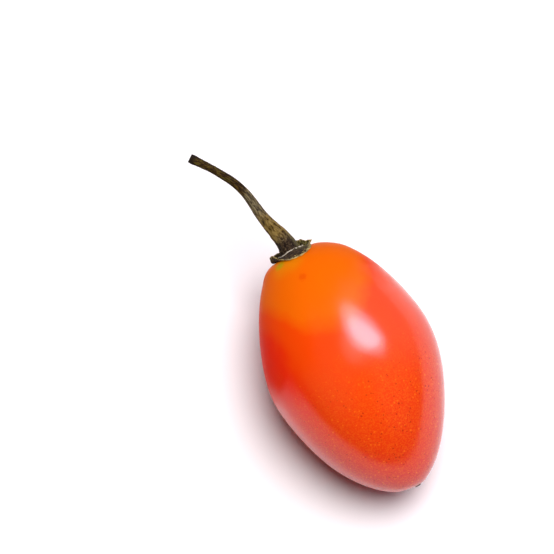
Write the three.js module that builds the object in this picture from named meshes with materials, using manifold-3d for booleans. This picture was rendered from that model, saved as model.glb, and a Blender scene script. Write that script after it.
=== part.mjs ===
// A tamarillo, lying on its side as picked: the egg-shaped fruit, the dry five-lobed calyx
// that caps its stalk end, and the curved woody stalk.
// Millimetres, +Z up. The fruit's long axis lies in the YZ plane with its stalk end towards +Y.
// The origin is the middle of the small flat spot that the fruit rests on.
import * as THREE from "three";
import { mergeVertices } from "three/addons/utils/BufferGeometryUtils.js";
import Module from "manifold-3d";

const wasm = await Module();
wasm.setup();

// Driving dimensions of the fruit
const fruitLength = 65.8;
const fruitRadius = 21.9;
const widestFromStalkEnd = 30.5;
const tipRoundness = 9; // how far the blunt tip runs out before it turns along the flank
const tipFlankFullness = 17.1; // how far the full width carries on towards the tip
const shoulderFlankFullness = 10; // how far the full width carries on towards the stalk
const shoulderRoundness = 8.8; // how far the shoulder runs out before it turns along the flank
const shoulderRise = 1.6;
const basinRadius = 4; // the shallow basin in the stalk end, under the calyx
const basinDepth = 0.3;

// How it lies
const restTilt = THREE.MathUtils.degToRad(11); // stalk end raised, tip low
const flatSpotDepth = 0.35; // how far the soft fruit is flattened where it rests

// Calyx and stalk
const pieceGap = 0.3; // clearance that keeps two neighbouring solids apart
const lobeCount = 5;
const lobeTipRadius = 6.2;
const lobeNotchRadius = 4.2;
const lobeBluntness = 0.22; // how far round from its tip a lobe stays wide, as a share of its turn
const lobeTurn = -0.33; // which way the first lobe points, as a share of a lobe's turn
const calyxRimHeight = 0.9;
const calyxHubRadius = 3.2;
const calyxHubHeight = 1.5;
const stalkFootHeight = calyxHubHeight + pieceGap;
const stalkFootRadius = 2.65;
const stalkEndRadius = 1.1;

// Fineness of the facets
const fruitSides = 48;
const tipHalfRings = 16;
const shoulderHalfRings = 14;
const basinRings = 4;
const calyxSides = 30;
const lobeCurveSteps = 5;
const stalkSides = 14;
const stalkRings = 22;

const skin = new THREE.MeshStandardMaterial({ color: 0xf04a10, roughness: 0.25, metalness: 0 });
const husk = new THREE.MeshStandardMaterial({ color: 0x7a6640, roughness: 0.9, metalness: 0 });
const bark = new THREE.MeshStandardMaterial({ color: 0x4a4020, roughness: 0.85, metalness: 0 });

// In the fruit's own frame +Y runs along its axis towards the stalk, and y = 0 is the rim of the basin.

// The fruit's half outline, from the tip to the middle of the basin: the tapering tip half,
// the fuller shoulder half, and the basin.
function fruitOutline() {
  const widest = -widestFromStalkEnd;
  const tipHalf = new THREE.CubicBezierCurve(
    new THREE.Vector2(0, -fruitLength),
    new THREE.Vector2(tipRoundness, -fruitLength),
    new THREE.Vector2(fruitRadius, widest - tipFlankFullness),
    new THREE.Vector2(fruitRadius, widest),
  );
  const shoulderHalf = new THREE.CubicBezierCurve(
    new THREE.Vector2(fruitRadius, widest),
    new THREE.Vector2(fruitRadius, widest + shoulderFlankFullness),
    new THREE.Vector2(basinRadius + shoulderRoundness, shoulderRise),
    new THREE.Vector2(basinRadius, 0),
  );
  const basin = new THREE.CubicBezierCurve(
    new THREE.Vector2(basinRadius, 0),
    new THREE.Vector2(0.7 * basinRadius, -0.35 * basinDepth),
    new THREE.Vector2(0.4 * basinRadius, -basinDepth),
    new THREE.Vector2(0, -basinDepth),
  );
  const outline = [
    ...tipHalf.getSpacedPoints(tipHalfRings),
    ...shoulderHalf.getSpacedPoints(shoulderHalfRings).slice(1),
    ...basin.getSpacedPoints(basinRings).slice(1),
  ];
  outline[0].x = 0;
  outline[outline.length - 1].x = 0;
  return outline;
}

// The translation and tilt that stand the fruit's own frame on the ground, with the lowest point of
// its outline above the origin's place and a flat spot's depth under it.
function restingPlace() {
  const tilt = new THREE.Matrix4().makeRotationX(restTilt);
  const lowest = fruitOutline()
    .map((p) => new THREE.Vector3(0, p.y, -p.x).applyMatrix4(tilt))
    .reduce((low, p) => (p.z < low.z ? p : low));
  return new THREE.Matrix4().makeTranslation(0, -lowest.y, -lowest.z - flatSpotDepth).multiply(tilt);
}

// A closed geometry as a solid that can be joined and cut.
function solidFrom(geometry) {
  const bare = geometry.clone();
  bare.deleteAttribute("normal");
  bare.deleteAttribute("uv");
  const merged = mergeVertices(bare);
  return new wasm.Manifold(
    new wasm.Mesh({
      numProp: 3,
      vertProperties: merged.attributes.position.array,
      triVerts: new Uint32Array(merged.index.array),
    }),
  );
}

function geometryFrom(solid) {
  const { vertProperties, triVerts } = solid.getMesh();
  const geometry = new THREE.BufferGeometry();
  geometry.setAttribute("position", new THREE.BufferAttribute(vertProperties, 3));
  geometry.setIndex(new THREE.BufferAttribute(triVerts, 1));
  return geometry;
}

function namedMesh(name, geometry, material) {
  const mesh = new THREE.Mesh(geometry, material);
  mesh.name = name;
  return mesh;
}

// The whole fruit, turned from its outline in its own frame.
function turnedFruit() {
  return new THREE.LatheGeometry(fruitOutline(), fruitSides);
}

// The fruit, laid down and flattened where it touches the ground.
function makeFruit(place) {
  const underGround = new THREE.BoxGeometry(4 * fruitRadius, 4 * fruitLength, fruitRadius);
  underGround.translate(0, 0, -fruitRadius / 2);
  const lying = solidFrom(turnedFruit().applyMatrix4(place));
  return namedMesh("fruit", geometryFrom(lying.subtract(solidFrom(underGround))), skin);
}

// The calyx's outline from above, raised to a prism: blunt lobes with notches between them.
function lobedPrism(height) {
  const at = (radius, turn) => {
    const angle = (2 * Math.PI * (turn + lobeTurn)) / lobeCount;
    return [radius * Math.cos(angle), radius * Math.sin(angle)];
  };
  const star = new THREE.Shape();
  star.moveTo(...at(lobeTipRadius, 0));
  for (let lobe = 0; lobe < lobeCount; lobe += 1) {
    star.quadraticCurveTo(...at(lobeTipRadius, lobe + lobeBluntness), ...at(lobeNotchRadius, lobe + 0.5));
    star.quadraticCurveTo(...at(lobeTipRadius, lobe + 1 - lobeBluntness), ...at(lobeTipRadius, lobe + 1));
  }
  const prism = new THREE.ExtrudeGeometry(star, {
    depth: height,
    bevelEnabled: false,
    curveSegments: lobeCurveSteps,
  });
  return prism.translate(0, 0, -height / 2).rotateX(-Math.PI / 2);
}

// The calyx is a low cone, cut to its lobes and hollowed underneath by the fruit that it sits on.
function makeCalyx() {
  const cone = new THREE.LatheGeometry(
    [
      new THREE.Vector2(0, -calyxHubHeight),
      new THREE.Vector2(lobeTipRadius, -calyxHubHeight),
      new THREE.Vector2(lobeTipRadius, calyxRimHeight),
      new THREE.Vector2(calyxHubRadius, calyxHubHeight),
      new THREE.Vector2(0, calyxHubHeight),
    ],
    calyxSides,
  );
  const seat = solidFrom(turnedFruit().translate(0, pieceGap, 0));
  const solid = solidFrom(cone).intersect(solidFrom(lobedPrism(4 * calyxHubHeight))).subtract(seat);
  return namedMesh("calyx", geometryFrom(solid), husk);
}

// The stalk's centreline in the fruit's own frame: it leaves along the fruit's axis and bends aside.
const stalkLine = new THREE.CatmullRomCurve3([
  new THREE.Vector3(0, stalkFootHeight, 0),
  new THREE.Vector3(-0.05, 3.6, 0),
  new THREE.Vector3(-1.9, 11, 0.7),
  new THREE.Vector3(-3.7, 21, 1.4),
  new THREE.Vector3(-6.9, 27.2, 1.6),
  new THREE.Vector3(-11.3, 33.5, 1.7),
]);

// Half section of the straightened stalk, radius against distance along it: a flared foot,
// a long taper and a slightly swollen end.
function stalkProfile(length) {
  const side = new THREE.SplineCurve([
    new THREE.Vector2(stalkFootRadius, 0),
    new THREE.Vector2(2.2, 2.5),
    new THREE.Vector2(1.6, 9),
    new THREE.Vector2(1.15, 18),
    new THREE.Vector2(0.92, 29),
    new THREE.Vector2(stalkEndRadius, length),
  ]);
  return [new THREE.Vector2(0, 0), ...side.getSpacedPoints(stalkRings), new THREE.Vector2(0, length)];
}

// The stalk is turned straight, then its rings are carried along the centreline.
function makeStalk() {
  const steps = 200;
  const length = stalkLine.getLength();
  const stalk = new THREE.LatheGeometry(stalkProfile(length), stalkSides);
  const frames = stalkLine.computeFrenetFrames(steps, false);
  const position = stalk.getAttribute("position");
  for (let i = 0; i < position.count; i += 1) {
    const step = THREE.MathUtils.clamp(Math.round((steps * position.getY(i)) / length), 0, steps);
    const bent = stalkLine
      .getPointAt(step / steps)
      .addScaledVector(frames.normals[step], position.getX(i))
      .addScaledVector(frames.binormals[step], -position.getZ(i));
    position.setXYZ(i, bent.x, bent.y, bent.z);
  }
  return namedMesh("stalk", stalk, bark);
}

const place = restingPlace();
const stalkEnd = new THREE.Group();
stalkEnd.add(makeCalyx(), makeStalk());
stalkEnd.applyMatrix4(place);

const tamarillo = new THREE.Group();
tamarillo.add(makeFruit(place), stalkEnd);

export default tamarillo;
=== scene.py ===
import math

import bmesh
import bpy
from mathutils import Matrix, Vector, noise


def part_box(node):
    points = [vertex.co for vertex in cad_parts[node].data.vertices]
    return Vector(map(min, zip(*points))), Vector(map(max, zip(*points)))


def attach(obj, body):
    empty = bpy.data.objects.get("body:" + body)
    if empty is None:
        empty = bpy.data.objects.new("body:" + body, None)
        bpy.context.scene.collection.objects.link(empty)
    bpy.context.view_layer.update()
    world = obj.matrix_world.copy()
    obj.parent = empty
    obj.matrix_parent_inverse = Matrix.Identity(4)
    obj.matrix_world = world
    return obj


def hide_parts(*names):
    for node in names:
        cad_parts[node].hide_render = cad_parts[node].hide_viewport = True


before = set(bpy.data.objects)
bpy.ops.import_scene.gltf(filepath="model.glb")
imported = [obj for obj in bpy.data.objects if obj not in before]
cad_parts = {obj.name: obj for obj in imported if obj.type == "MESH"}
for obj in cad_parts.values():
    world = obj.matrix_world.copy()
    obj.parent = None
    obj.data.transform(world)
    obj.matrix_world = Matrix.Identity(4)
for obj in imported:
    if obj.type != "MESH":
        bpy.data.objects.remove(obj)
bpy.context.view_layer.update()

# A tamarillo lying on its side. Metres, +Z up. Each piece is modelled upright in the fruit's own
# frame, with +Z along its axis towards the stalk and z = 0 at the rim of the basin in the stalk
# end, and is then laid down where the frame has it. Upright, -Y is the side that ends up on top.
MM = 0.001

# The fruit
fruit_low, fruit_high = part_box("fruit")
fruit_radius = fruit_high.x
fruit_length = 3.005 * fruit_radius
widest_place = 1.393 * fruit_radius  # how far the widest ring is from the basin's rim
tip_roundness = 0.411 * fruit_radius  # how far the blunt tip runs out before it turns back
tip_flank_fullness = 0.781 * fruit_radius  # how far the full width carries on towards the tip
shoulder_flank_fullness = 0.457 * fruit_radius  # how far the full width carries on the other way
basin_radius = 4.0 * MM
basin_depth = 0.3 * MM
shoulder_roundness = 3.2 * basin_radius  # how far from the axis the shoulder turns down
shoulder_rise = 1.6 * MM  # how high the shoulder heads above the basin's rim
scar_radius = 0.95 * MM  # the dry mark that the flower left on the tip
scar_height = 0.22 * MM
fruit_sides = 160
outline_steps = 26
rest_tilt = math.radians(11.0)
flat_softness = 0.12 * MM  # how far the rim of the flat spot is rounded

# How the grown fruit differs from a turned one
shoulder_lean = 0.75 * MM  # to the right, a little below the calyx
tip_lean = 1.05 * MM  # to the left
flank_flattening = 0.10 * MM
lump_height, lump_size = 0.16 * MM, 17 * MM
dimple_height, dimple_size = 0.03 * MM, 5 * MM

# The calyx
calyx_sides = 300
calyx_rings = 30
calyx_hub_radius = 2.7 * MM  # the middle, which the stalk's foot covers
calyx_flat_radius = 6.0 * MM  # of the flat disc that is bent into the calyx
calyx_thickness = 0.26 * MM
calyx_lift = 0.34 * MM  # from the fruit's skin to the husk's upper face
collar_height = 0.95 * MM
rim_height = 0.38 * MM
keel_height = 0.16 * MM  # along the middle of each lobe
crinkle_height, crinkle_size = 0.16 * MM, 1.1 * MM
wrinkle_height, wrinkle_size = 0.05 * MM, 0.4 * MM
lobe_raggedness = 0.05  # as a share of a lobe's reach

# The stalk
stalk_foot_height = 0.9 * MM
stalk_sides = 72
stalk_rows = 100
cut_rim_width = 0.3 * MM
hollow_wall_width = 0.12 * MM
hollow_depth = 0.22 * MM
# How far the bark's relief stands out, in millimetres
rib_relief = 0.17
wrinkle_relief = 0.10
knob_relief = 0.16
side_rib_relief = 0.42

# The camera looks down on the fruit, from over its left side
camera_azimuth = math.radians(-29.16)
camera_elevation = math.radians(75.5)
camera_distance = 0.7
view_width = 0.1391
sensor_width = 36.0
aim_right = -19.6 * MM
aim_up = 23.3 * MM

light_slant = (0.70, -0.71, 0.0)  # the way that each light's first side runs, as nearly as it can


# ---------------------------------------------------------------- small helpers


def direction(azimuth, elevation):
    """The way from the middle of the object to a place seen at that azimuth and elevation."""
    flat = math.cos(elevation)
    return Vector((math.sin(azimuth) * flat, -math.cos(azimuth) * flat, math.sin(elevation)))


def rise(low, high, value):
    """0 below low, 1 above high, and a smooth slope between them. High may be the lower one."""
    share = min(1.0, max(0.0, (value - low) / (high - low)))
    return share * share * (3 - 2 * share)


def hump(middle, spread, value):
    """1 at the middle, falling away on both sides of it."""
    return math.exp(-(((value - middle) / spread) ** 2))


def smooth_through(knots, value):
    """A smooth curve through the knots, each a place and a height, read at a place."""
    last = len(knots) - 1
    value = min(max(value, knots[0][0]), knots[last][0])
    i = next(k for k in range(last) if value <= knots[k + 1][0])
    (x0, y0), (x1, y1) = knots[i], knots[i + 1]
    before, after = knots[max(i - 1, 0)], knots[min(i + 2, last)]
    slope0 = (y1 - before[1]) / (x1 - before[0]) * (x1 - x0)
    slope1 = (after[1] - y0) / (after[0] - x0) * (x1 - x0)
    t = (value - x0) / (x1 - x0)
    return (
        (2 * t**3 - 3 * t**2 + 1) * y0
        + (t**3 - 2 * t**2 + t) * slope0
        + (3 * t**2 - 2 * t**3) * y1
        + (t**3 - t**2) * slope1
    )


def bezier(start, leave, arrive, end, t):
    """A point on a Bezier curve, from 0 at its start to 1 at its end."""
    weights = ((1 - t) ** 3, 3 * t * (1 - t) ** 2, 3 * t * t * (1 - t), t**3)
    return tuple(
        sum(w * p[i] for w, p in zip(weights, (start, leave, arrive, end))) for i in (0, 1)
    )


def deselect_all():
    if bpy.context.object and bpy.context.object.mode != "OBJECT":
        bpy.ops.object.mode_set(mode="OBJECT")
    bpy.ops.object.select_all(action="DESELECT")


def begin_edit(kind):
    """Enters edit mode, picking that kind of element, with nothing selected."""
    bpy.ops.object.mode_set(mode="EDIT")
    bpy.ops.mesh.select_mode(type=kind)
    bpy.ops.mesh.select_all(action="DESELECT")


def pick(piece, kind, wanted):
    """In edit mode, selects the verts, edges or faces that the test accepts, and nothing else."""
    bpy.ops.mesh.select_all(action="DESELECT")
    mesh = bmesh.from_edit_mesh(piece.data)
    for element in getattr(mesh, kind):
        if wanted(element):
            element.select_set(True)
    bmesh.update_edit_mesh(piece.data)


def close_up(piece):
    """Merges what lies together and turns every face outwards."""
    bpy.ops.object.mode_set(mode="EDIT")
    bpy.ops.mesh.select_mode(type="VERT")
    bpy.ops.mesh.select_all(action="SELECT")
    bpy.ops.mesh.remove_doubles(threshold=0.0002 * MM)
    bpy.ops.mesh.normals_make_consistent(inside=False)
    bpy.ops.object.mode_set(mode="OBJECT")


def keep_as_attribute(piece, name, values):
    attribute = piece.data.attributes.new(name, "FLOAT_VECTOR", "POINT")
    attribute.data.foreach_set("vector", [x for value in values for x in value])


def finish_piece(piece, name, node, material):
    """Lays the piece down, smooths it, gives it its finish and puts it in its CAD node's place."""
    piece.name = piece.data.name = name
    piece.data.transform(placed)
    bpy.ops.object.shade_smooth()
    piece.data.materials.clear()
    piece.data.materials.append(material)
    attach(piece, "root")
    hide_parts(node)
    deselect_all()


# ---------------------------------------------------------------- where the fruit's own frame lies


def fruit_knots():
    """The fruit's half outline as Bezier knots, from the tip to the middle of the basin: a place,
    and the handles before and after it, each as radius and height."""
    tip, widest = -fruit_length, -widest_place
    return [
        ((0.0, tip), (0.0, tip), (tip_roundness, tip)),
        (
            (fruit_radius, widest),
            (fruit_radius, widest - tip_flank_fullness),
            (fruit_radius, widest + shoulder_flank_fullness),
        ),
        (
            (basin_radius, 0.0),
            (shoulder_roundness, shoulder_rise),
            (0.7 * basin_radius, -0.35 * basin_depth),
        ),
        ((0.0, -basin_depth), (0.4 * basin_radius, -basin_depth), (0.0, -basin_depth)),
    ]


def fruit_outline():
    """Points along the half outline, as radius and height."""
    knots = fruit_knots()
    points = [
        bezier(start, leave, arrive, end, step / outline_steps)
        for (start, _, leave), (end, arrive, _) in zip(knots, knots[1:])
        for step in range(outline_steps)
    ]
    return points + [knots[-1][0]]


def lay_down():
    """The matrix from the fruit's own frame to the object's: tipped over with its stalk end
    raised, and set so that the turned fruit fills the box that the CAD gives it."""
    tip_over = Matrix.Rotation(rest_tilt - math.pi / 2, 4, "X")
    turned = [tip_over @ Vector((0.0, side * r, z)) for r, z in fruit_outline() for side in (-1, 1)]
    middle = (min(p.y for p in turned) + max(p.y for p in turned)) / 2
    top = max(p.z for p in turned)
    shift = Vector((0.0, (fruit_low.y + fruit_high.y) / 2 - middle, fruit_high.z - top))
    return Matrix.Translation(shift) @ tip_over


placed = lay_down()
# The part of the outline that the calyx lies on, from the axis outwards
shoulder_curve = [(r, z) for r, z in reversed(fruit_outline()) if z > -0.3 * widest_place]


def skin_height(radius):
    """How high the fruit's stalk end is, that far from its axis."""
    for (r0, z0), (r1, z1) in zip(shoulder_curve, shoulder_curve[1:]):
        if r0 <= radius <= r1:
            return z0 + (z1 - z0) * (radius - r0) / (r1 - r0)
    return 0.0


# ---------------------------------------------------------------- shader nodes


class Signal:
    """A node's output, for shader maths written as expressions."""

    def __init__(self, nodes, socket):
        self.nodes = nodes
        self.socket = socket

    def maths(self, operation, *values):
        return self.nodes.add("Math", {"operation": operation}, dict(enumerate(values)))

    def root(self):
        return self.maths("SQRT", self)

    def __add__(self, other):
        return self.maths("ADD", self, other)

    def __sub__(self, other):
        return self.maths("SUBTRACT", self, other)

    def __rsub__(self, other):
        return self.maths("SUBTRACT", other, self)

    def __mul__(self, other):
        return self.maths("MULTIPLY", self, other)

    __radd__ = __add__
    __rmul__ = __mul__


class Nodes:
    """A node tree and the ways to add nodes to it."""

    def __init__(self, tree):
        self.tree = tree

    def connect(self, socket, value):
        if isinstance(value, Signal):
            self.tree.links.new(value.socket, socket)
        else:
            socket.default_value = value

    def add(self, kind, settings, sockets, output=0):
        """A node of that type, with its settings made first and then its sockets filled."""
        node = self.tree.nodes.new("ShaderNode" + kind)
        for name, value in settings.items():
            if name == "stops":
                ramp = node.color_ramp.elements
                while len(ramp) < len(value):
                    ramp.new(0.5)
                for element, (position, color) in zip(ramp, value):
                    element.position = position
                    element.color = (*color, 1.0)
            else:
                setattr(node, name, value)
        for name, value in sockets.items():
            self.connect(node.inputs[name], value)
        return Signal(self, node.outputs[output])

    def rise(self, value, low, high):
        """0 below low, 1 above high, and a smooth slope between them. High may be the lower one."""
        return self.add(
            "MapRange",
            {"interpolation_type": "SMOOTHSTEP"},
            {"Value": value, "From Min": low, "From Max": high},
        )

    def grain(self, place, scale, detail=2.0, roughness=0.5):
        """Soft noise from 0 to 1, so many grains to each unit of the place."""
        sockets = {"Vector": place, "Scale": scale, "Detail": detail, "Roughness": roughness}
        return self.add("TexNoise", {}, sockets)

    def stretch(self, place, scale):
        return self.add("VectorMath", {"operation": "MULTIPLY"}, {0: place, 1: scale})

    def ramp(self, value, *stops):
        """A colour that changes with the value through the stops, each a value and a colour."""
        return self.add("ValToRGB", {"stops": stops}, {0: value})

    def tint(self, share, first, second):
        """The first colour turning into the second as the share goes from 0 to 1."""
        settings = {"data_type": "RGBA"}
        return self.add("Mix", settings, {0: share, 6: opaque(first), 7: opaque(second)}, 2)

    def axes(self, place):
        """A place's three coordinates, apart."""
        node = self.add("SeparateXYZ", {}, {0: place}).socket.node
        return [Signal(self, output) for output in node.outputs]

    def dots(self, place, spacing, radius, share):
        """Round dots of random size on a share of random places: 1 inside them and 0 elsewhere."""
        node = self.add("TexVoronoi", {}, {"Vector": place, "Scale": 1 / spacing}).socket.node
        chance = self.add("SeparateColor", {}, {0: Signal(self, node.outputs["Color"])}).socket.node
        first, second = (Signal(self, output) for output in list(chance.outputs)[:2])
        inside = radius / spacing * (0.5 + 0.5 * second) - Signal(self, node.outputs["Distance"])
        chosen = self.rise(first, share, share - 0.02)
        return self.rise(inside, 0.0, 0.35 * radius / spacing) * chosen

    def near(self, place, middle, radius, unevenness):
        """1 at a place, falling to 0 at an uneven ring of that radius round it."""
        away = self.add("VectorMath", {"operation": "DISTANCE"}, {0: place, 1: middle}, "Value")
        return self.rise(away + unevenness, radius, radius * 0.3)

    def relief(self, height, depth):
        """A bump of that depth in metres where height is 1."""
        return self.add("Bump", {}, {"Height": height, "Distance": depth})


class Finish(Nodes):
    """A procedural material."""

    def __init__(self, name):
        self.material = bpy.data.materials.new(name)
        self.material.use_nodes = True
        super().__init__(self.material.node_tree)
        self.shader = self.tree.nodes["Principled BSDF"]

    def finish(self, **sockets):
        """Fills the shader's sockets and gives the material."""
        for name, value in sockets.items():
            self.connect(self.shader.inputs[name.replace("_", " ").title()], value)
        return self.material


def opaque(color):
    return color if isinstance(color, Signal) else (*color, 1.0)


def own_frame_place(finish):
    """The place in the fruit's own frame, in millimetres."""
    place = finish.add("TexCoord", {}, {}, "Object")
    sockets = {
        "Vector": place,
        "Location": placed.to_translation(),
        "Rotation": placed.to_euler(),
        "Scale": (MM, MM, MM),
    }
    return finish.add("Mapping", {"vector_type": "TEXTURE"}, sockets)


# ---------------------------------------------------------------- camera, light and floor


def make_camera():
    """A long lens, aimed up and left of the fruit, so that the fruit stands low and right."""
    back = direction(camera_azimuth, camera_elevation)
    turn = back.to_track_quat("Z", "Y")
    right, up = turn @ Vector((1, 0, 0)), turn @ Vector((0, 1, 0))
    middle = placed @ Vector((0.0, 0.0, -fruit_length / 2))
    data = bpy.data.cameras.new("camera")
    data.sensor_width = sensor_width
    data.lens = sensor_width * camera_distance / view_width
    data.clip_end = 20.0
    camera = bpy.data.objects.new("camera", data)
    bpy.context.scene.collection.objects.link(camera)
    camera.rotation_mode = "QUATERNION"
    camera.location = middle + aim_right * right + aim_up * up + camera_distance * back
    camera.rotation_quaternion = turn
    bpy.context.scene.camera = camera


def make_light(name, towards, distance, size, power, tint=(1.0, 1.0, 1.0)):
    """An oval soft light that faces the object from that way and distance."""
    data = bpy.data.lights.new(name, "AREA")
    data.shape = "ELLIPSE"
    data.size, data.size_y = size
    data.energy = power
    data.color = tint
    light = bpy.data.objects.new(name, data)
    bpy.context.scene.collection.objects.link(light)
    back = Vector(towards).normalized()
    side = back.cross(Vector(light_slant)).normalized()
    light.rotation_mode = "QUATERNION"
    light.location = back * distance
    light.rotation_quaternion = Matrix((side.cross(back), side, back)).transposed().to_quaternion()
    return light


def make_window():
    """A cool window that only shows in the gloss: a bright pane just in front of a wider, dimmer
    one, which gives it a soft edge."""
    towards, cool = (0.487, 0.124, 1.0), (1.0, 1.0, 1.32)
    panes = [
        make_light("window", towards, 1.49, (0.96, 0.62), 12.4, cool),
        make_light("window_edge", towards, 1.5, (1.38, 1.0), 17.0, cool),
    ]
    for pane in panes:
        pane.visible_diffuse = False


def make_fills(floor):
    """Wide soft lights from both sides, which light the fruit but not the floor."""
    fills = [
        make_light("left_fill", (-0.65, 0.0, 0.8), 1.6, (2.4, 2.4), 16.0),
        make_light("right_fill", (0.55, -0.75, 0.7), 1.6, (1.6, 1.6), 9.0),
    ]
    unlit = bpy.data.collections.new("not lit by the fills")
    unlit.objects.link(floor)
    unlit.collection_objects[0].light_linking.link_state = "EXCLUDE"
    for fill in fills:
        fill.visible_glossy = False
        fill.light_linking.receiver_collection = unlit


def make_room():
    """A dim room, brighter towards a wall low on the right."""
    world = bpy.data.worlds.new("room")
    world.use_nodes = True
    bpy.context.scene.world = world
    room = Nodes(world.node_tree)
    wall = Vector((0.85, 0.3, 0.32)).normalized()
    dim, bright = 0.03, 0.62
    mauve_white = (1.0, 0.92, 1.15, 1.0)
    looking = room.add("TexCoord", {}, {}, "Generated")
    facing = room.add("VectorMath", {"operation": "DOT_PRODUCT"}, {0: looking, 1: wall}, "Value")
    background = room.tree.nodes["Background"].inputs
    background["Color"].default_value = mauve_white
    room.connect(background["Strength"], room.rise(facing, 0.58, 1.0) * (bright - dim) + dim)


def make_floor():
    """A wide matt floor that the lights turn white."""
    warm_white = (0.95, 0.905, 0.92, 1.0)
    deselect_all()
    bpy.ops.mesh.primitive_plane_add(size=6.0, location=(0, 0, 0))
    floor = bpy.context.object
    floor.name = "floor"
    paint = Finish("floor_paint")
    floor.data.materials.append(paint.finish(base_color=warm_white, roughness=0.9))
    return floor


def make_studio():
    """A white floor under a soft top light, with a window, fills and a dim room round it."""
    make_window()
    top = make_light("top_light", (0.162, 0.045, 1.0), 1.5, (1.0, 1.0), 29.5)
    top.visible_glossy = False
    make_room()
    bpy.context.scene.view_settings.view_transform = "Standard"
    make_fills(make_floor())


# ---------------------------------------------------------------- fruit


def skin_finish():
    """Waxy skin: olive at the calyx, orange on the shoulder, red down the flanks and crimson at
    the tip, with fine dark and pale speckles towards the tip."""
    skin = Finish("tamarillo_skin")
    place = own_frame_place(skin)
    across, down, axial = skin.axes(place)  # axial runs from 0 at the calyx to minus the length
    length = fruit_length / MM
    from_axis = (across * across + down * down).root()
    broad = skin.grain(place, 0.045) - 0.5
    patchy = skin.grain(place, 0.16, 3.0, 0.55) - 0.5
    mottled = skin.grain(place, 1.1, 3.0, 0.6) - 0.5

    # The fruit ripens from its tip, flanks and underside towards the top of its shoulder.
    ripeness = across * across * 0.05 + down * 0.12 - axial + 2.6
    ripeness = ripeness + broad * 9.0 + patchy * 5.0 + mottled * 1.6
    color = skin.ramp(
        ripeness * (1 / length),
        (0.0, (0.62, 0.100, 0.001)),
        (0.27, (0.62, 0.094, 0.001)),
        (0.36, (0.62, 0.043, 0.001)),
        (0.60, (0.61, 0.039, 0.001)),
        (0.84, (0.56, 0.028, 0.002)),
        (1.0, (0.48, 0.020, 0.014)),
    )
    blush_red = (0.60, 0.014, 0.001)
    left_flank = skin.rise(across + patchy * 5.0, -12.5, -18.0)
    blush = left_flank * skin.rise(axial, -8.0, -17.0) * skin.rise(axial, -56.0, -28.0)
    color = skin.tint(blush, color, blush_red)

    # What is still unripe beside the calyx, and a small bruise below it
    pale_olive, leaf_green, calyx_olive = (0.56, 0.17, 0.002), (0.27, 0.24, 0.002), (0.40, 0.17, 0.010)
    olive = skin.near(place, (-3.0, -7.0, -1.6), 6.0, patchy * 3.5)
    color = skin.tint(olive * 0.7, color, pale_olive)
    green = skin.near(place, (-4.9, -6.9, -0.9), 2.1, patchy * 2.5)
    color = skin.tint(green * 0.75, color, leaf_green)
    ring = skin.rise(from_axis + patchy * 2.5, 7.2, 5.6) * skin.rise(axial, -3.0, -1.0)
    color = skin.tint(ring * 0.5, color, calyx_olive)
    bruise = skin.near(place, (-2.1, -13.1, -6.6), 1.5, mottled * 1.2)
    color = skin.tint(bruise * 0.6, color, (0.55, 0.045, 0.001))

    # Speckles of three kinds on the lower half, and the dry scar at the tip
    freckle_orange, dot_yellow, dot_brown = (0.62, 0.085, 0.004), (0.70, 0.15, 0.006), (0.26, 0.009, 0.001)
    uneven_axial = axial + patchy * 16.0
    lower_half = skin.rise(uneven_axial, -22.0, -44.0)
    clusters = skin.rise(skin.grain(place, 0.28), 0.40, 0.60) * 0.85 + 0.15
    dark_dots = skin.dots(place, 0.85, 0.31, 0.62) * clusters * skin.rise(uneven_axial, -27.0, -44.0)
    stretched = skin.stretch(place, (1.0, 1.0, 1.13))  # so that the pale dots fall elsewhere
    pale_dots = skin.dots(stretched, 0.95, 0.33, 0.4) * lower_half
    freckles = skin.rise(skin.grain(place, 2.6), 0.46, 0.60) * lower_half
    color = skin.tint(freckles * 0.50, color, freckle_orange)
    color = skin.tint(pale_dots * 0.5, color, dot_yellow)
    color = skin.tint(dark_dots * 0.8, color, dot_brown)
    scar = skin.rise(from_axis, 1.15, 0.8) * skin.rise(axial, 2.0 - length, 1.0 - length)
    color = skin.tint(scar, color, (0.035, 0.035, 0.015))

    waves, pores, scar_grain = (skin.grain(place, scale) for scale in (0.9, 5.0, 6.0))
    bumps = waves * 0.6 + pores * 0.25 - dark_dots * 0.25 + scar * scar_grain * 4.0
    # The wax is thin on the shoulder and along the left flank, and thick further down.
    bare_length = skin.rise(across, -4.0, -12.0) * 16.0 + 14.0
    wax = skin.rise(axial * -1 - bare_length + patchy * 8.0, -5.0, 5.0) * (1 - scar)
    inputs = skin.shader.inputs
    inputs["IOR"].default_value = 1.04
    inputs["Coat Roughness"].default_value = 0.18
    inputs["Subsurface Weight"].default_value = 0.1
    inputs["Subsurface Radius"].default_value = (1.0, 0.25, 0.1)
    inputs["Subsurface Scale"].default_value = 1.5 * MM
    return skin.finish(
        base_color=color,
        roughness=0.29 + mottled * 0.08 + dark_dots * 0.2 + scar * 0.4,
        coat_weight=(wax * 0.88 + 0.02) * (1 - dark_dots * 0.4),
        normal=skin.relief(bumps, 0.02 * MM),
    )


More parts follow.
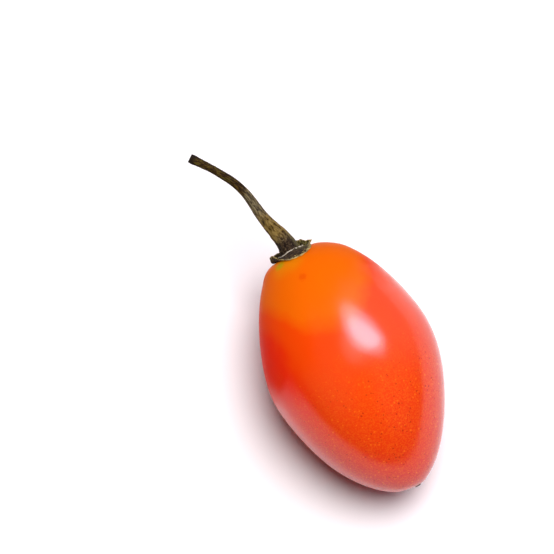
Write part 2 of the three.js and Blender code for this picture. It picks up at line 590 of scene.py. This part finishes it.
def draw_half_fruit():
    """The half outline drawn with a Bezier curve, with a small raised scar at the tip, and turned
    into edges."""
    tip, body, rim, middle = fruit_knots()
    foot = bezier(tip[0], tip[2], body[1], body[0], 0.035)
    crest = (0.6 * scar_radius, -fruit_length - scar_height)
    knots = [
        ((0.0, -fruit_length), (0.0, -fruit_length), (0.2 * scar_radius, -fruit_length)),
        (crest, (0.4 * scar_radius, crest[1]), (0.85 * scar_radius, crest[1])),
        (foot, (0.9 * foot[0], foot[1] - 0.03 * MM), tip[2]),
        body,
        rim,
        middle,
    ]
    deselect_all()
    bpy.ops.curve.primitive_bezier_curve_add(location=(0, 0, 0))
    outline = bpy.context.object
    outline.data.resolution_u = outline_steps
    points = outline.data.splines[0].bezier_points
    points.add(len(knots) - 2)
    for point, (place, before, after) in zip(points, knots):
        point.handle_left_type = point.handle_right_type = "FREE"
        point.co = (place[0], 0, place[1])
        point.handle_left = (before[0], 0, before[1])
        point.handle_right = (after[0], 0, after[1])
    bpy.ops.object.convert(target="MESH")
    return bpy.context.object


def grow_fruit(piece):
    """Takes the turned fruit out of true, as it grew: it leans a little to the right below the
    calyx and to the left at its tip, and its flanks are faintly uneven."""
    for vertex in piece.data.vertices:
        x, y, z = vertex.co
        radius = math.hypot(x, y)
        share = -z / fruit_length
        lean = shoulder_lean * rise(0.0, 0.06, share) * rise(0.5, 0.08, share)
        lean -= tip_lean * rise(0.52, 0.9, share)
        lean *= rise(scar_radius, 5 * scar_radius, radius)
        three_sided = math.cos(3 * math.atan2(y, x) + 0.8)
        flats = flank_flattening * three_sided * math.sin(math.pi * min(1.0, max(0.0, share)))
        lumps = lump_height * noise.noise(Vector(vertex.co) / lump_size)
        dimples = dimple_height * noise.noise(Vector(vertex.co) / dimple_size)
        swell = 1 + (flats + lumps + dimples) * rise(0.0, 6 * MM, radius) / max(radius, MM)
        vertex.co = (x * swell + lean, y * swell, z)


def settle(piece):
    """Flattens the laid fruit where it rests on the ground, with a soft rim."""
    under = placed.inverted()
    for vertex in piece.data.vertices:
        place = placed @ vertex.co
        soft = (place.z + math.hypot(place.z, 2 * flat_softness)) / 2
        vertex.co = under @ Vector((place.x, place.y, soft))


def make_fruit():
    """The half outline turned round the axis, taken out of true and set down."""
    piece = draw_half_fruit()
    begin_edit("VERT")
    bpy.ops.mesh.select_all(action="SELECT")
    bpy.ops.mesh.spin(steps=fruit_sides, angle=2 * math.pi, center=(0, 0, 0), axis=(0, 0, 1))
    close_up(piece)
    grow_fruit(piece)
    settle(piece)
    finish_piece(piece, "fruit_skin", "fruit", skin_finish())


# ---------------------------------------------------------------- calyx


# Each lobe from the right one round: the way it points, how far it reaches, where it starts to curl
# and how far it curls, how much of the curled part the curl takes up before the lobe runs straight,
# and how deep the notch after it is as a share of its reach
lobes = [
    (math.radians(-21), 6.3 * MM, 0.42, 0.8, 1.0, 0.16),
    (math.radians(50), 6.3 * MM, 0.08, 2.0, 1.0, 0.36),
    (math.radians(122), 6.3 * MM, 0.20, 1.6, 1.0, 0.36),
    (math.radians(198), 7.2 * MM, 0.58, 1.7, 0.35, 0.0),
    (math.radians(275), 9.4 * MM, 0.9, 0.3, 1.0, 0.03),
]


def lobe_shape(angle):
    """The calyx's reach and the start, turn and share of its curl at that angle, and how near the
    angle is to the middle of a lobe, from 0 at a notch to 1."""
    full_turn = 2 * math.pi
    angle = (angle - lobes[0][0]) % full_turn + lobes[0][0]
    i = max(k for k, lobe in enumerate(lobes) if lobe[0] <= angle)
    before, after = lobes[i], lobes[(i + 1) % len(lobes)]
    off = (angle - before[0]) / ((after[0] - before[0]) % full_turn)
    mixing = rise(0.1, 0.9, off)
    reach, start, curl, fold = (a + (b - a) * mixing for a, b in zip(before[1:5], after[1:5]))
    middle = max(0.0, math.cos(math.pi * min(off, 1 - off))) ** 0.5
    notch = before[5]
    ragged = 1 + lobe_raggedness * noise.noise(Vector((math.cos(angle), math.sin(angle), 0.3)) * 7.0)
    reach *= (1 - notch * (1 - middle)) * ragged
    return reach, start, curl, fold, middle


def raised_rim(angle, share):
    """How strongly the uneven rim round the stalk's foot stands up at that place, from 0 to 1."""
    wander = noise.noise(Vector((math.cos(angle), math.sin(angle), 2.0)) * 2.5)
    ripple = noise.noise(Vector((math.cos(angle), math.sin(angle), 5.0)) * 6.0)
    crest, width = 0.19 + 0.08 * wander + 0.03 * ripple, 0.045
    return hump(crest, width, share) * (0.75 + 0.5 * ripple)


def calyx_sheet(angle, share):
    """A point on the calyx's upper face: a collar round the stalk's foot, a web that lies on the
    fruit, and lobes that curl up from it."""
    reach, start, curl, fold, middle = lobe_shape(angle)
    run = reach - calyx_hub_radius
    flat = min(share, start)
    radius = calyx_hub_radius + run * flat
    lift = 0.0
    if share > start:
        raised = (share - start) / (1 - start)
        bend = run * (1 - start) * fold / curl
        turned = curl * min(1.0, raised / fold)
        straight = run * (1 - start) * max(0.0, raised - fold)
        radius += bend * math.sin(turned) + straight * math.cos(turned)
        lift = bend * (1 - math.cos(turned)) + straight * math.sin(turned)
    flat_place = Vector((math.cos(angle), math.sin(angle), 0.0)) * (share * calyx_flat_radius)
    crinkle = crinkle_height * noise.noise(flat_place / crinkle_size) * (0.25 + share)
    crinkle += wrinkle_height * noise.noise(flat_place / wrinkle_size)
    keel = keel_height * rise(0.9, 1.0, middle) * math.sin(math.pi * share)
    collar = collar_height * rise(0.34, 0.0, share)
    rim = rim_height * raised_rim(angle, share)
    height = skin_height(radius) + calyx_lift + collar + rim + lift + crinkle + keel
    return Vector((radius * math.cos(angle), radius * math.sin(angle), height))


def drape_calyx(piece):
    """Bends the flat thick disc to the calyx's shape, and keeps where each point was on it and how
    strongly the rim stands up there."""
    flat_places, rims = [], []
    for vertex in piece.data.vertices:
        x, y, depth = vertex.co
        angle = math.atan2(y, x)
        share = (math.hypot(x, y) - calyx_hub_radius) / (calyx_flat_radius - calyx_hub_radius)
        flat_places.append((math.cos(angle), math.sin(angle), share))
        rims.append((raised_rim(angle, share), 0.0, 0.0))
        if share <= 0:
            vertex.co = (x, y, calyx_sheet(angle, 0.0).z + depth)
            continue
        share = min(share, 1.0)
        here = calyx_sheet(angle, share)
        outward = here - calyx_sheet(angle, share - 0.02)
        around = calyx_sheet(angle + 0.01, share) - here
        thinning = 1 - 0.45 * rise(0.6, 1.0, share)  # towards the lobes' margins
        vertex.co = here + outward.cross(around).normalized() * (depth * thinning)
    keep_as_attribute(piece, "flat_place", flat_places)
    keep_as_attribute(piece, "raised_rim", rims)


def husk_finish():
    """Dry papery husk: dark brown on its left side, speckled olive on its right, with crisp tan
    margins and a pale rim round the stalk's foot, partly a painted highlight on its upper side."""
    husk = Finish("dry_husk")
    flat_place = husk.add("Attribute", {"attribute_name": "flat_place"}, {}, "Vector")
    right, back, share = husk.axes(flat_place)
    place = own_frame_place(husk)
    veins = husk.grain(husk.stretch(flat_place, (9.0, 9.0, 1.2)), 1.0, 3.0, 0.6)
    specks = husk.grain(place, 2.3, 4.0, 0.65)
    patches = husk.grain(place, 0.7)

    flecks = husk.rise(specks, 0.42, 0.60)
    brown = husk.tint(flecks, (0.010, 0.005, 0.002), (0.060, 0.034, 0.014))
    olive = husk.tint(flecks, (0.022, 0.016, 0.003), (0.150, 0.120, 0.035))
    color = husk.tint(husk.rise(right + (patches - 0.5) * 0.8, 0.1, 0.6), brown, olive)
    vein_brown, rim_cream_highlight, margin_tan = (0.012, 0.006, 0.003), (0.60, 0.52, 0.42), (0.42, 0.30, 0.11)
    color = husk.tint(husk.rise(veins, 0.5, 0.34) * 0.7, color, vein_brown)
    # The pale rim: partly the husk's pale edge, partly a painted highlight on the side that faces up.
    raised = husk.axes(husk.add("Attribute", {"attribute_name": "raised_rim"}, {}, "Vector"))[0]
    rim = husk.rise(raised, 0.35, 0.65) * husk.rise(back, 0.3, -0.3) * husk.rise(specks, 0.40, 0.52)
    color = husk.tint(rim * 0.9, color, rim_cream_highlight)
    wider = husk.rise(right, 0.1, 0.6) * husk.rise(back, 0.1, -0.4)  # at the near right
    margin = husk.rise(share + (specks - 0.5) * 0.7 + wider * 0.10, 0.90, 1.0)
    margin = margin * (husk.rise(patches, 0.40, 0.58) * 0.6 + 0.4)
    color = husk.tint(margin, color, margin_tan)
    husk.shader.inputs["Specular IOR Level"].default_value = 0.15
    return husk.finish(
        base_color=color,
        roughness=0.75 + specks * 0.2,
        normal=husk.relief(veins * 0.6 + specks * 0.6, 0.2 * MM),
    )


def make_calyx():
    """A flat disc grown ring by ring from its hub, thickened, and draped over the shoulder."""
    deselect_all()
    bpy.ops.mesh.primitive_circle_add(
        vertices=calyx_sides, radius=calyx_hub_radius, fill_type="TRIFAN", location=(0, 0, 0)
    )
    piece = bpy.context.object
    begin_edit("EDGE")
    pick(piece, "edges", lambda edge: edge.is_boundary)
    growth = (calyx_flat_radius / calyx_hub_radius) ** (1 / calyx_rings)
    for _ in range(calyx_rings):
        bpy.ops.mesh.extrude_region_move()
        bpy.ops.transform.resize(value=(growth, growth, 1), center_override=(0, 0, 0))
    bpy.ops.object.mode_set(mode="OBJECT")
    body = piece.modifiers.new("thickness", "SOLIDIFY")
    body.thickness = calyx_thickness
    body.offset = -1.0
    bpy.ops.object.modifier_apply(modifier=body.name)
    close_up(piece)
    drape_calyx(piece)
    finish_piece(piece, "calyx_husk", "calyx", husk_finish())


# ---------------------------------------------------------------- stalk


# The centreline in the fruit's own frame: across, up once the fruit lies down, and along
stalk_route = [
    (0.0, 0.0, 0.0),
    (-0.05, 0.0, 2.6),
    (-1.9, 0.7, 10.1),
    (-3.7, 1.4, 20.1),
    (-6.9, 1.6, 26.3),
    (-11.3, 1.7, 32.6),
]
# Distance along the stalk and radius there
stalk_radii = [
    (0.0, 2.6),
    (1.2, 2.42),
    (3.0, 2.2),
    (5.5, 2.0),
    (9.0, 1.55),
    (13.5, 1.27),
    (19.0, 1.08),
    (26.0, 0.96),
    (31.0, 0.92),
    (34.0, 1.02),
    (35.3, 1.12),
    (36.4, 1.02),
]


def lay_route():
    """The stalk's centreline as a curve, raised to where its foot stands."""
    deselect_all()
    bpy.ops.curve.primitive_bezier_curve_add(location=(0, 0, 0))
    route = bpy.context.object
    points = route.data.splines[0].bezier_points
    points.add(len(stalk_route) - 2)
    for point, (across, up, along) in zip(points, stalk_route):
        point.co = (across * MM, -up * MM, along * MM + stalk_foot_height)
        point.handle_left_type = point.handle_right_type = "AUTO"
    route.data.dimensions = "3D"
    route.data.resolution_u = 24
    return route


def bark_relief(angle, height):
    """How far the bark stands out at a place on the straight stalk, in millimetres: broad ribs
    and fine wrinkles along it, a knobbly foot and a rib that swells on one side."""
    ring = Vector((math.cos(angle), math.sin(angle), 0.0))
    twist = 0.035 * height
    turned = Vector((math.cos(angle + twist), math.sin(angle + twist), 0.0))
    ribs = 1 - 2.6 * abs(noise.noise(turned * 1.7 + Vector((0, 0, height * 0.05))))
    wrinkles = 1 - 2.6 * abs(noise.noise(turned * 4.2 + Vector((0, 0, 7.0 + height * 0.22))))
    knobs = noise.noise(ring * 2.6 + Vector((0, 0, height * 1.1)))
    foot = rise(6.0, 1.0, height)
    taper = 0.45 + 0.55 * rise(22.0, 6.0, height)
    side_rib = hump(-0.5, 0.55, math.remainder(angle, 2 * math.pi)) * hump(6.3, 2.6, height)
    along = taper * (rib_relief * ribs + wrinkle_relief * wrinkles)
    return along + knob_relief * foot * knobs + side_rib_relief * side_rib


def shape_stalk(piece, length):
    """Gives the straight stalk its girth and bark, and keeps its straight places and its relief
    for the bark's colours."""
    straight, reliefs = [], []
    for vertex in piece.data.vertices:
        x, y, z = vertex.co
        angle = math.atan2(y, x)
        height = z / length * stalk_radii[-1][0]
        relief = bark_relief(angle, height)
        girth = smooth_through(stalk_radii, height)
        share = math.hypot(x, y) / MM
        radius = share * (girth + relief * rise(0.0, 0.8, share))
        straight.append((math.cos(angle), math.sin(angle), height))
        reliefs.append((relief / girth, 0.0, 0.0))
        vertex.co = (radius * MM * math.cos(angle), radius * MM * math.sin(angle), z)
    keep_as_attribute(piece, "straight_place", straight)
    keep_as_attribute(piece, "bark_relief", reliefs)


def bark_finish():
    """Woody bark: a dark crusty foot, brown and ochre fibres above it, a grey stretch half way
    and a dark olive upper part with a blackened end, with a painted highlight along its upper side
    and painted shade along its lower left side."""
    # Between which heights each stretch begins, in millimetres along the stalk
    fibres_begin, grey_begins, dark_begins = (3.8, 6.2), (10.5, 13.0), (18.5, 21.0)
    green_begins, end_begins = (21.0, 26.0), (34.4, 35.7)

    bark = Finish("stalk_bark")
    straight = bark.add("Attribute", {"attribute_name": "straight_place"}, {}, "Vector")
    top, right, height = bark.axes(straight)
    relief = bark.axes(bark.add("Attribute", {"attribute_name": "bark_relief"}, {}, "Vector"))[0]
    fibres = bark.grain(bark.stretch(straight, (3.2, 3.2, 0.55)), 1.0, 4.0, 0.65)
    threads = bark.grain(bark.stretch(straight, (9.0, 9.0, 1.3)), 1.0, 4.0, 0.65)
    blotches = bark.grain(bark.stretch(straight, (1.1, 1.1, 0.30)), 1.0)
    crust = bark.grain(own_frame_place(bark), 2.2, 4.0, 0.65)

    wander = (blotches - 0.5) * 6.0
    fibre_tone = (fibres - 0.5) * 1.5 + (threads - 0.5) * 1.5 + relief * 0.9 + 0.40
    brown = bark.ramp(
        fibre_tone,
        (0.26, (0.010, 0.004, 0.001)),
        (0.42, (0.050, 0.026, 0.003)),
        (0.56, (0.102, 0.060, 0.008)),
        (0.78, (0.165, 0.108, 0.024)),
    )
    grey = bark.tint(bark.rise(fibre_tone, 0.3, 0.7), (0.022, 0.014, 0.007), (0.165, 0.128, 0.066))
    dark = bark.tint(bark.rise(fibre_tone, 0.35, 0.8), (0.010, 0.004, 0.001), (0.095, 0.052, 0.007))
    color = bark.tint(bark.rise(height + wander, *grey_begins), brown, grey)
    color = bark.tint(bark.rise(height + wander * 0.6, *dark_begins), color, dark)

    crust_grey, crust_olive = (0.20, 0.16, 0.10), (0.115, 0.095, 0.040)
    broken = bark.rise(crust * 0.5 + fibres * 0.25 + threads * 0.25, 0.44, 0.58)
    crusty = bark.tint(broken, (0.005, 0.002, 0.001), (0.045, 0.027, 0.013))
    crusty = bark.tint(bark.rise(crust, 0.60, 0.70) * 0.8, crusty, crust_grey)
    right_edge = bark.rise(right + top * 0.35, 0.75, 1.05)
    crusty = bark.tint(right_edge * 0.5, crusty, crust_olive)
    color = bark.tint(bark.rise(height + wander * 0.4, *fibres_begin), crusty, color)

    leaf_green, ridge_tan_highlight = (0.060, 0.060, 0.008), (0.20, 0.13, 0.045)
    shade_brown, end_black = (0.012, 0.005, 0.003), (0.010, 0.006, 0.003)
    green = bark.rise(fibres, 0.52, 0.62) * bark.rise(height, *green_begins)
    color = bark.tint(green * 0.5, color, leaf_green)
    # Partly the bark's tan, partly a painted highlight: lighter along the side that faces up, low on the
    # stalk.
    lit_ridge = bark.rise(top, 0.0, 0.7) * bark.rise(height, 2.5, 5.0) * bark.rise(height, 15.0, 11.0)
    color = bark.tint(lit_ridge * bark.rise(fibres, 0.40, 0.55) * 0.5, color, ridge_tan_highlight)
    # Painted shade: darker along the side that faces down and to the left.
    shaded = bark.rise(top + right * 0.6, -0.25, -0.85)
    color = bark.tint(shaded * 0.85, color, shade_brown)
    end = bark.rise(height + (crust - 0.5) * 1.5, *end_begins)
    color = bark.tint(end * 0.9, color, end_black)
    bark.shader.inputs["Specular IOR Level"].default_value = 0.08
    return bark.finish(
        base_color=color,
        roughness=0.62 + threads * 0.25,
        normal=bark.relief(fibres * 0.5 + threads * 0.4 + crust * 0.5, 0.3 * MM),
    )


def make_stalk():
    """A thin straight cylinder with a hollowed end, given its girth and bark and bent to its route."""
    route = lay_route()
    length = route.data.splines[0].calc_length()
    bpy.ops.mesh.primitive_cylinder_add(
        vertices=stalk_sides, radius=MM, depth=length, location=(0, 0, length / 2)
    )
    piece = bpy.context.object
    bpy.ops.object.transform_apply(location=True, rotation=True, scale=True)
    begin_edit("FACE")
    pick(piece, "faces", lambda face: face.calc_center_median().z > 0.99 * length)
    bpy.ops.mesh.inset(thickness=cut_rim_width)
    bpy.ops.mesh.inset(thickness=hollow_wall_width, depth=-hollow_depth)
    bpy.ops.mesh.inset(thickness=cut_rim_width)
    bpy.ops.mesh.select_mode(type="EDGE")
    pick(piece, "edges", lambda edge: abs(edge.verts[0].co.z - edge.verts[1].co.z) > length / 2)
    bpy.ops.mesh.subdivide(number_cuts=stalk_rows)
    bpy.ops.object.mode_set(mode="OBJECT")
    shape_stalk(piece, length)
    bend = piece.modifiers.new("bend", "CURVE")
    bend.object = route
    bend.deform_axis = "POS_Z"
    bpy.ops.object.modifier_apply(modifier=bend.name)
    bpy.data.objects.remove(route)
    close_up(piece)
    finish_piece(piece, "stalk_bark", "stalk", bark_finish())


# ---------------------------------------------------------------- build


make_camera()
make_studio()
make_fruit()
make_calyx()
make_stalk()
